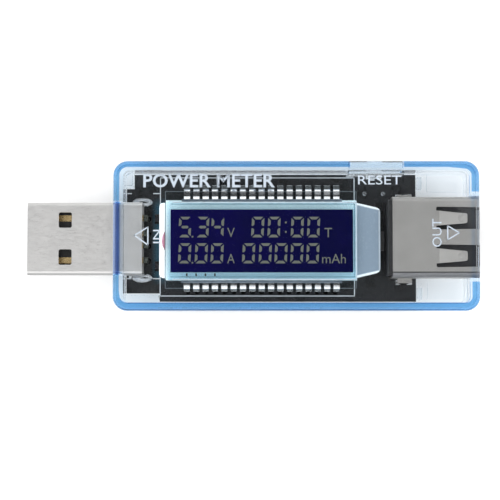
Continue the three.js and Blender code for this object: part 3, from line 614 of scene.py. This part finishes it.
def line(bm, start, end, width, z0, z1):
    """Adds a straight line of the given width, with square ends."""
    a, b = Vector(start), Vector(end)
    way = (b - a).normalized() * width / 2
    side = Vector((-way.y, way.x))
    corners = (a - way - side, b + way - side, b + way + side, a - way + side)
    slab(bm, [(c.x, c.y) for c in corners], z0, z1)


def lettering(name, text, place, height, turn=0.0, width=None, bold=0.0, material=WHITE_INK):
    """Plain text as thin ink. place is its lower left corner as it is read, at the ink's upper face."""
    curve = bpy.data.curves.new(name, "FONT")
    curve.body = text
    curve.resolution_u = 3
    curve.offset = bold
    made = bpy.data.objects.new(name + "_outline", curve)
    bpy.context.scene.collection.objects.link(made)
    bpy.context.view_layer.update()
    mesh = bpy.data.meshes.new_from_object(made)
    bpy.data.objects.remove(made)
    bm = bmesh.new()
    bm.from_mesh(mesh)
    bpy.data.meshes.remove(mesh)
    bmesh.ops.remove_doubles(bm, verts=bm.verts, dist=1e-5)
    xs = [v.co.x for v in bm.verts]
    ys = [v.co.y for v in bm.verts]
    tall = height / (max(ys) - min(ys))
    wide = width / (max(xs) - min(xs)) if width else tall
    rotate = Matrix.Rotation(turn, 3, "Z")
    for v in bm.verts:
        flat = Vector(((v.co.x - min(xs)) * wide, (v.co.y - min(ys)) * tall, 0))
        v.co = rotate @ flat + Vector(place)
    faces = list(bm.faces)
    made = bmesh.ops.extrude_face_region(bm, geom=faces)
    for v in (g for g in made["geom"] if isinstance(g, bmesh.types.BMVert)):
        v.co.z -= INK
    return piece(name, bm, material)


# ---------------------------------------------------------------- print on the case

PRINT_Z = CEILING - 0.01
PRINT_WIDTH = 0.21


def arrow(name, base, tip):
    """An outlined triangle between the base's two corners and the tip."""
    bm = bmesh.new()
    corners = [*base, tip]
    for i in range(3):
        line(bm, corners[i], corners[(i + 1) % 3], PRINT_WIDTH, PRINT_Z - INK, PRINT_Z)
    return piece(name, bm, WHITE_INK)


def print_case():
    """The words and arrows under the front cover's plate."""
    lettering("print_title", "POWER METER", (-25.1, 7.95, PRINT_Z), 2.3, width=21.6, bold=0.02)
    lettering("print_reset", "RESET", (10.15, 8.45, PRINT_Z), 1.5, width=7.1)
    quarter = math.pi / 2
    lettering("print_in", "IN", (-22.3, -1.2, PRINT_Z), 1.15, turn=quarter, width=2.2)
    lettering("print_out", "OUT", (23.8, -1.79, PRINT_Z), 1.54, turn=quarter, width=4.59)
    arrow("print_in_arrow", ((-24.3, -1.5), (-24.3, 1.45)), (-26.5, 0.1))
    arrow("print_out_arrow", ((24.8, -0.62), (24.8, 1.65)), (26.7, 0.52))


print_case()


# ---------------------------------------------------------------- display reading

SEGMENT_ON = {"0": "abcdef", "3": "abgcd", "4": "fgbc", "5": "afgcd"}
DIGIT_WIDTH = 2.05
SEGMENT_WIDTH = 0.44
SEGMENT_GAP = 0.18
SLANT = 0.05
SEGMENT_Z = VIEW_HIGH.z + 0.002


def segment_shapes(height):
    """Each segment's outline, in a digit whose lower left corner is the origin, with mitred ends."""
    w, t, g = DIGIT_WIDTH, SEGMENT_WIDTH, SEGMENT_GAP
    mid = height / 2
    upper_bar = [(g, height), (w - g, height), (w - t - g, height - t), (t + g, height - t)]
    middle_bar = [
        (t / 2 + g, mid), (t + g, mid + t / 2), (w - t - g, mid + t / 2),
        (w - t / 2 - g, mid), (w - t - g, mid - t / 2), (t + g, mid - t / 2),
    ]
    upper_left = [(0, mid + g), (0, height - g), (t, height - t - g), (t, mid + t / 2 + g), (t / 2, mid + g)]
    flip_x = lambda shape: [(w - x, y) for x, y in shape]
    flip_y = lambda shape: [(x, height - y) for x, y in shape]
    return {
        "a": upper_bar, "d": flip_y(upper_bar), "g": middle_bar,
        "f": upper_left, "b": flip_x(upper_left), "e": flip_y(upper_left), "c": flip_x(flip_y(upper_left)),
    }


def digits(bm, text, starts, bottom, height):
    """Digits from the view's left at starts, standing bottom below its upper edge."""
    shapes = segment_shapes(height)
    for mark, start in zip(text, starts):
        at = Vector((VIEW_LOW.x + start, VIEW_HIGH.y - bottom))
        for key in SEGMENT_ON[mark]:
            outline = [(at.x + x + y * SLANT, at.y + y) for x, y in shapes[key]]
            slab(bm, outline, SEGMENT_Z, SEGMENT_Z + INK)


def dot(bm, x, y, half=0.14):
    """A square dot, x from the view's left and y below its upper edge."""
    slab(bm, rectangle(VIEW_LOW.x + x, VIEW_HIGH.y - y, half, half), SEGMENT_Z, SEGMENT_Z + INK)


def show_reading():
    """Two lines: volts and running time, then amps and charge."""
    bm = bmesh.new()
    digits(bm, "534", (1.25, 4.16, 6.62), 4.61, 3.39)
    digits(bm, "0000", (13.23, 15.9, 19.73, 22.4), 4.61, 3.39)
    digits(bm, "000", (1.22, 3.95, 6.55), 8.89, 3.31)
    digits(bm, "00000", (11.73, 14.46, 17.05, 19.66, 22.26), 8.89, 3.31)
    dot(bm, 3.6, 4.5)
    dot(bm, 3.6, 8.78)
    dot(bm, 18.95, 2.15)
    dot(bm, 18.95, 3.7)
    piece("display_digits", bm, SEGMENT_INK)
    unit_z = SEGMENT_Z + INK
    for name, text, x, bottom, width in (
        ("display_volts", "V", 9.31, 4.6, 1.25),
        ("display_time", "T", 25.3, 4.6, 1.25),
        ("display_amps", "A", 9.31, 8.88, 1.25),
        ("display_charge", "mAh", 24.9, 8.88, 3.9),
    ):
        place = (VIEW_LOW.x + x, VIEW_HIGH.y - bottom, unit_z)
        lettering(name, text, place, 1.55, width=width, material=SEGMENT_INK)


show_reading()


# ---------------------------------------------------------------- display glass and its pins

PIN_COUNT = 17
PIN_PITCH = 1.54
PIN_FIRST_X = -17.97
PIN_HALF = 0.5
PIN_THICK = 0.2
PIN_LIFT = 0.15  # of the upper arm's middle above the glass
LEG_HALF = 0.22
BEAD_HALF, BEAD_TALL = 0.22, 0.36
PIN_ROWS = {"lcd_pins_key_side": 8.5, "lcd_pins_far_side": -8.95}  # along Y
EDGE_WIDTH, SEAL_WIDTH, OUTLINE_WIDTH = 0.2, 0.15, 0.1  # of the lines round the display's glasses
MARK_COUNT = 4  # contact marks on the glass's near edge, one by each of the first pins
MARK_HALVES = (0.13, 0.22)  # half of a mark's size along X and along Y
MARK_Y = VIEW_LOW.y - 0.42


def ring(bm, box_low, box_high, width, z0, z1):
    """A flat frame with mitred corners, just inside a box."""
    x0, y0, x1, y1 = box_low.x, box_low.y, box_high.x, box_high.y
    outer = [(x0, y0), (x1, y0), (x1, y1), (x0, y1)]
    w = width
    inner = [(x0 + w, y0 + w), (x1 - w, y0 + w), (x1 - w, y1 - w), (x0 + w, y1 - w)]
    rings = [[bm.verts.new((x, y, z)) for x, y in outline] for outline, z in
             ((outer, z0), (outer, z1), (inner, z1), (inner, z0))]
    for a, b in zip(rings, rings[1:] + rings[:1]):
        for i in range(4):
            j = (i + 1) % 4
            bm.faces.new((a[i], a[j], b[j], b[i]))


def frame_glass():
    """The front glass's ground edge with a painted highlight along it, and its contact marks, the seal under
    it with a painted thin shadow, and a painted dark line of shade round the rear glass.
    """
    lower, upper = low("lcd_front_glass"), high("lcd_front_glass")
    bm = bmesh.new()
    # painted highlight: a light line along the front glass's ground edge
    half = EDGE_WIDTH / 2
    left, right, near, far = lower.x + 1.4, upper.x - half, lower.y + half, upper.y - half
    end_x = right - half - 0.01
    for start, end in (
        ((left, near), (end_x, near)),
        ((left, far), (end_x, far)),
        ((right, near - half), (right, far + half)),
    ):
        line(bm, start, end, EDGE_WIDTH, upper.z - 0.1, upper.z + 0.005)
    piece("glass_edge_highlight", bm, GLASS_EDGE_HIGHLIGHT)
    # the seal between the glasses; its dark teal is partly the seal's own colour and partly a painted thin
    # shadow inside the front glass's edge
    bm = bmesh.new()
    left, right, near, far = lower.x + 1, upper.x - 0.34, lower.y + 0.52, upper.y - 0.34
    near_corner, far_corner = (right, near), (right, far)
    for start, end in (((left, near), near_corner), ((left, far), far_corner), (near_corner, far_corner)):
        line(bm, start, end, SEAL_WIDTH, lower.z - 0.045, lower.z - 0.005)
    piece("glass_seal_and_shadow", bm, GLASS_SEAL_AND_SHADOW)
    bm = bmesh.new()
    # painted shade: a dark line round the rear glass's edge
    rear_low, rear_high = low("lcd_rear_glass"), high("lcd_rear_glass")
    ring(bm, rear_low, rear_high, OUTLINE_WIDTH, rear_high.z - 0.1, rear_high.z + 0.004)
    piece("glass_outline_shade", bm, GLASS_OUTLINE_SHADE)
    bm = bmesh.new()
    for i in range(MARK_COUNT):
        x = PIN_FIRST_X + i * PIN_PITCH
        slab(bm, rectangle(x, MARK_Y, *MARK_HALVES), upper.z + 0.001, upper.z + 0.001 + INK)
    piece("glass_marks", bm, CONNECTOR_PLASTIC)


def softened(points, radius, steps=5):
    """The same line of points, with each of its bends turned into a curve."""
    path = [Vector(points[0])]
    for before, at, after in zip(points, points[1:], points[2:]):
        at = Vector(at)
        into, out = Vector(before) - at, Vector(after) - at
        start = at + into * min(radius / into.length, 0.5)
        end = at + out * min(radius / out.length, 0.5)
        for i in range(steps + 1):
            u = i / steps
            path.append(start * (1 - u) ** 2 + at * 2 * u * (1 - u) + end * u ** 2)
    return [*path, Vector(points[-1])]


def bent_strip(bm, x0, x1, path, thick):
    """Sheet bent along a path of (y, z) points, smooth along its faces and sharp along its edges."""
    stations = []
    for i, at in enumerate(path):
        way = (path[min(i + 1, len(path) - 1)] - path[max(i - 1, 0)]).normalized()
        out = Vector((-way.y, way.x)) * thick / 2
        a, b = at + out, at - out
        stations.append([bm.verts.new((x, p.x, p.y)) for x, p in ((x0, a), (x1, a), (x1, b), (x0, b))])
    for first, second in zip(stations, stations[1:]):
        for i in range(4):
            j = (i + 1) % 4
            bm.faces.new((first[i], first[j], second[j], second[i])).smooth = True
            bm.edges.get((first[i], second[i])).smooth = False
    for cap in (stations[0][::-1], stations[-1]):
        for edge in bm.faces.new(cap).edges:
            edge.smooth = False


def pin_row(node, row, side, edge, inner, glass):
    """One row of bent clips: each has an arm over the glass, an arm under it, and a leg down to the board."""
    top = glass + PIN_LIFT
    arch = 0.17 if side > 0 else 0.1
    upper = [(inner, top), (edge - side * 0.8, top + arch), (edge + side * 0.12, top + arch - 0.08)]
    upper += [(row, top - 0.5), (row, glass - 1.75)]
    lower = [(inner + side * 0.5, glass - 0.86), (row - side * 0.15, glass - 0.86), (row, glass - 1.1)]
    leg = [(row, glass - 1.5), (row, low(node).z)]
    bm = bmesh.new()
    for i in range(PIN_COUNT):
        x = PIN_FIRST_X + i * PIN_PITCH
        bent_strip(bm, x - PIN_HALF, x + PIN_HALF, softened(upper, 0.22), PIN_THICK)
        bent_strip(bm, x - PIN_HALF, x + PIN_HALF, softened(lower, 0.15), PIN_THICK)
        bent_strip(bm, x - LEG_HALF, x + LEG_HALF, [Vector(p) for p in leg], PIN_THICK)
    made = piece(node.replace("lcd_", ""), bm, TIN)
    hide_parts(node)


def adhesive_bead(name, middle, base):
    """A half-round bead along a whole row of pins."""
    bm = bmesh.new()
    ends = (PIN_FIRST_X - 0.9, PIN_FIRST_X + (PIN_COUNT - 1) * PIN_PITCH + 0.9)
    arc = [(middle + BEAD_HALF * math.cos(a), base + BEAD_TALL * math.sin(a))
           for a in (i / 8 * math.pi for i in range(9))]
    rings = [[bm.verts.new((x, y, z)) for y, z in arc] for x in ends]
    for i in range(len(arc)):
        j = (i + 1) % len(arc)
        bm.faces.new((rings[0][i], rings[0][j], rings[1][j], rings[1][i])).smooth = i < len(arc) - 1
    bm.faces.new(rings[0])
    bm.faces.new(rings[1][::-1])
    piece(name, bm, BEAD)


def display_pins():
    """Two rows of bent clips, arched over the glass, each row under its bead of adhesive."""
    glass = high("lcd_rear_glass").z
    for node, row in PIN_ROWS.items():
        side = 1 if row > 0 else -1
        edge = high("lcd_rear_glass").y if side > 0 else low("lcd_rear_glass").y
        inner = high("lcd_front_glass").y + 0.06 if side > 0 else low("lcd_front_glass").y - 0.06
        pin_row(node, row, side, edge, inner, glass)
        adhesive_bead("bead" + node[len("lcd_pins"):], inner + side * BEAD_HALF, glass + PIN_LIFT + 0.04)


frame_glass()
display_pins()


# ---------------------------------------------------------------- print and solder on the board

SILK_WIDTH = 0.16
SILK_FRAME = ((-22.62, 9.9), (-9.65, 10.2))  # of the display's outline, along X and along Y
SILK_PLUG_X, SILK_PLUG_Y = ((-23.75, -22.8), (-28.1, -27.5)), (-6.75, 7.55)
PLUG_MIDDLE, SOCKET_MIDDLE = -0.3, -0.15  # along Y
PLUG_TAILS_X, SOCKET_TAILS_X = -24.6, 16.9
TAIL_OFFSETS = (3.5, 1, -1, -3.5)  # of the contacts' tails, from the middle of their connector
PLUG_TABS, SOCKET_TABS = (-25.6, 6.35), (18.2, 7.2)  # X, and the distance from the middle
SWITCH_TERMINALS = (13.2, 1.55, 7.5)  # X of the middle, distance from it, and Y


def silkscreen():
    """An outline round the display, and short lines beside the plug."""
    bm = bmesh.new()
    z = (BOARD_TOP, BOARD_TOP + INK)
    (left, right), (front, back) = SILK_FRAME
    lines = [
        ((left, front), (right, front)),
        ((left, back), (right, back)),
        ((left, front), (left, back)),
        ((right, front), (right, back)),
    ]
    for y in SILK_PLUG_Y:
        for start_x, end_x in SILK_PLUG_X:
            lines.append(((start_x, y), (end_x, y)))
    for start, end in lines:
        line(bm, start, end, SILK_WIDTH, *z)
    piece("silkscreen", bm, SILK_INK)


def mound(bm, x, y, z, radius, height, stretch=(1, 1), steps=12, rings=4):
    """A domed solder fillet on a face at height z. A negative height hangs below it."""
    previous = None
    for ring in range(rings):
        turn = ring / rings * math.pi / 2
        r, h = radius * math.cos(turn) ** 1.3, height * math.sin(turn)
        circle = []
        for i in range(steps):
            a = i / steps * math.tau
            place = (x + r * stretch[0] * math.cos(a), y + r * stretch[1] * math.sin(a), z + h)
            circle.append(bm.verts.new(place))
        if previous:
            for i in range(steps):
                j = (i + 1) % steps
                bm.faces.new((previous[i], previous[j], circle[j], circle[i]))
        else:
            bm.faces.new(circle[::-1])
        previous = circle
    top = bm.verts.new((x, y, z + height))
    for i in range(steps):
        bm.faces.new((previous[i], previous[(i + 1) % steps], top))


def solder_joints():
    """Solder under the board round each pin, tail and leg, and above it round the plug's and switch's."""
    top, under = bmesh.new(), bmesh.new()
    pins, first, pitch = PIN_COUNT, PIN_FIRST_X, PIN_PITCH
    spots = [(first + i * pitch, row, 0.5, (1, 1), False) for i in range(pins) for row in PIN_ROWS.values()]
    for offset in TAIL_OFFSETS:
        spots.append((PLUG_TAILS_X, PLUG_MIDDLE + offset, 0.6, (1, 1), False))
        spots.append((SOCKET_TAILS_X, SOCKET_MIDDLE + offset, 0.7, (1, 1), False))
    switch_x, apart, switch_y = SWITCH_TERMINALS
    for side in (-1, 1):
        spots.append((switch_x + side * apart, switch_y, 0.4, (1, 1), True))
        spots.append((PLUG_TABS[0], PLUG_MIDDLE + side * PLUG_TABS[1], 0.95, (1.95, 0.9), True))
        spots.append((SOCKET_TABS[0], SOCKET_MIDDLE + side * SOCKET_TABS[1], 0.5, (1.9, 0.8), False))
    for x, y, radius, stretch, on_top in spots:
        if on_top:
            mound(top, x, y, BOARD_TOP, radius, radius * 0.42, stretch)
        mound(under, x, y, BOARD_UNDER, radius, -radius * 1.1, stretch)
    for name, bm in (("solder_front", top), ("solder_back", under)):
        for face in bm.faces:
            face.smooth = True
        piece(name, bm, SOLDER)


TWO_ENDED = [
    "input_capacitor", "output_capacitor", "regulator_capacitor",
    "current_shunt", "lamp_resistor", "divider_resistor_high", "divider_resistor_low",
    "sense_resistor", "data_resistor_high", "data_resistor_low",
]
END_SHARE = 0.22  # of the part's length, at each end
END_THICK = 0.03


def part_ends():
    """Tinned ends round the two-ended chip parts."""
    bm = bmesh.new()
    for node in TWO_ENDED:
        lower, upper = low(node), high(node)
        size = upper - lower
        axis = 0 if size.x > size.y else 1
        for side in (0, 1):
            a, b = lower - Vector([END_THICK] * 3), upper + Vector([END_THICK] * 3)
            if side == 0:
                b[axis] = lower[axis] + size[axis] * END_SHARE
            else:
                a[axis] = upper[axis] - size[axis] * END_SHARE
            slab(bm, [(a.x, a.y), (b.x, a.y), (b.x, b.y), (a.x, b.y)], a.z, b.z)
    piece("part_ends", bm, SOLDER)


# how far each chip's mark is from its left and its back, and the mark's radius
CHIP_MARKS = {"controller_chip": (1.9, 1.9, 0.45), "memory_chip": (0.75, 1.7, 0.28)}


def chip_marks():
    """A round mark by pin 1 on each chip's face."""
    bm = bmesh.new()
    turns = [i / 20 * math.tau for i in range(20)]
    for node, (from_left, from_back, radius) in CHIP_MARKS.items():
        lower, upper = low(node), high(node)
        x, y = lower.x + from_left, upper.y - from_back
        circle = [(x + radius * math.cos(a), y + radius * math.sin(a)) for a in turns]
        slab(bm, circle, lower.z - INK, lower.z + INK)
    piece("chip_marks", bm, SILK_INK)


DIMPLE_X = 27.05
DIMPLE_OFFSET = 3.1  # from the socket's middle
DIMPLE_DEPTH = 0.52  # of a dimple's foot under the shell's top


def socket_dimples():
    """The bulge near the tip of each sprung finger in the socket's upper face."""
    bm = bmesh.new()
    middle = (low("socket_shell").y + high("socket_shell").y) / 2
    top = high("socket_shell").z
    for side in (-1, 1):
        place = (DIMPLE_X, middle + side * DIMPLE_OFFSET, top - DIMPLE_DEPTH)
        mound(bm, *place, 0.56, 0.2, (1.3, 1), steps=20, rings=5)
    for face in bm.faces:
        face.smooth = True
    piece("socket_dimples", bm, SOCKET_STEEL)


silkscreen()
solder_joints()
part_ends()
chip_marks()
socket_dimples()


# ---------------------------------------------------------------- studio

FLOOR_SIZE = 3.0
WORLD_STRENGTH = 1.12
PATCH_LEAN = math.radians(7.5)  # how far the dark patch leans from straight up
PATCH_LEVEL = 0.03
PATCH_INNER = math.radians(13.5)
PATCH_OUTER = math.radians(17.5)
HORIZON_LOW, HORIZON_HIGH = 0.25, 0.7  # sines of the heights between which the light grows to full
HORIZON_LEVEL = 0.45


def add_floor():
    """A plain pale table top, just under the case."""
    bpy.ops.mesh.primitive_plane_add(size=FLOOR_SIZE, location=(0, 0, -0.04 * MM))
    floor = bpy.context.object
    floor.name = "floor"
    t = Tree("floor")
    fine = t.noise((0.02, 0.02, 0.02), detail=3)
    tone = t.blend(fine, (0.93, 0.93, 0.93), (0.95, 0.95, 0.95))
    surface = t.principled(
        Base_Color=tone, Roughness=0.8, Specular_IOR_Level=0.1, Emission_Color=tone, Emission_Strength=0.25
    )
    floor.data.materials.append(t.finish(surface))


def add_world():
    """Soft light from all round, weaker near the horizon, with a dark patch overhead that leans back."""
    world = bpy.data.worlds.new("studio")
    bpy.context.scene.world = world
    world.use_nodes = True
    nodes, links = world.node_tree.nodes, world.node_tree.links
    background = nodes["Background"]
    place = nodes.new("ShaderNodeTexCoord")
    near = nodes.new("ShaderNodeVectorMath")
    near.operation = "DOT_PRODUCT"
    near.inputs[1].default_value = (0, math.sin(PATCH_LEAN), math.cos(PATCH_LEAN))
    ramp = nodes.new("ShaderNodeValToRGB")
    links.new(place.outputs["Generated"], near.inputs[0])
    links.new(near.outputs["Value"], ramp.inputs[0])
    apart = nodes.new("ShaderNodeSeparateXYZ")
    links.new(place.outputs["Generated"], apart.inputs[0])
    rise = nodes.new("ShaderNodeMapRange")
    links.new(apart.outputs["Z"], rise.inputs["Value"])
    rise.inputs["From Min"].default_value = HORIZON_LOW
    rise.inputs["From Max"].default_value = HORIZON_HIGH
    rise.inputs["To Min"].default_value = HORIZON_LEVEL
    both = nodes.new("ShaderNodeMixRGB")
    both.blend_type = "MULTIPLY"
    both.inputs[0].default_value = 1
    links.new(ramp.outputs[0], both.inputs[1])
    links.new(rise.outputs[0], both.inputs[2])
    links.new(both.outputs[0], background.inputs[0])
    dark = PATCH_LEVEL
    stops = ((0.0, 1.0), (math.cos(PATCH_OUTER), 1.0), (math.cos(PATCH_INNER), dark), (1.0, dark))
    for at, _ in stops[1:-1]:
        ramp.color_ramp.elements.new(at)
    for element, (_, level) in zip(ramp.color_ramp.elements, stops):
        element.color = (level, level, level, 1)
    background.inputs[1].default_value = WORLD_STRENGTH


def add_softbox(name, place, size, power):
    """A large square lamp that faces the meter."""
    data = bpy.data.lights.new(name, "AREA")
    data.shape = "SQUARE"
    data.size = size
    data.energy = power
    lamp = bpy.data.objects.new(name, data)
    bpy.context.scene.collection.objects.link(lamp)
    lamp.location = place
    lamp.rotation_euler = (-Vector(place)).to_track_quat("-Z", "Y").to_euler()


add_floor()
add_world()
add_softbox("key_softbox", (-0.35, -0.45, 0.45), 1.4, 3.0)
add_softbox("fill_softbox", (0.45, 0.35, 0.5), 1.2, 1.5)


def set_light_paths():
    """Enough bounces for light to cross the covers and the glasses, and to run along inside the walls."""
    cycles = bpy.context.scene.cycles
    cycles.max_bounces = 32
    cycles.transmission_bounces = 32
    cycles.glossy_bounces = 32
    cycles.transparent_max_bounces = 48


set_light_paths()
bpy.context.scene.view_settings.view_transform = "Standard"
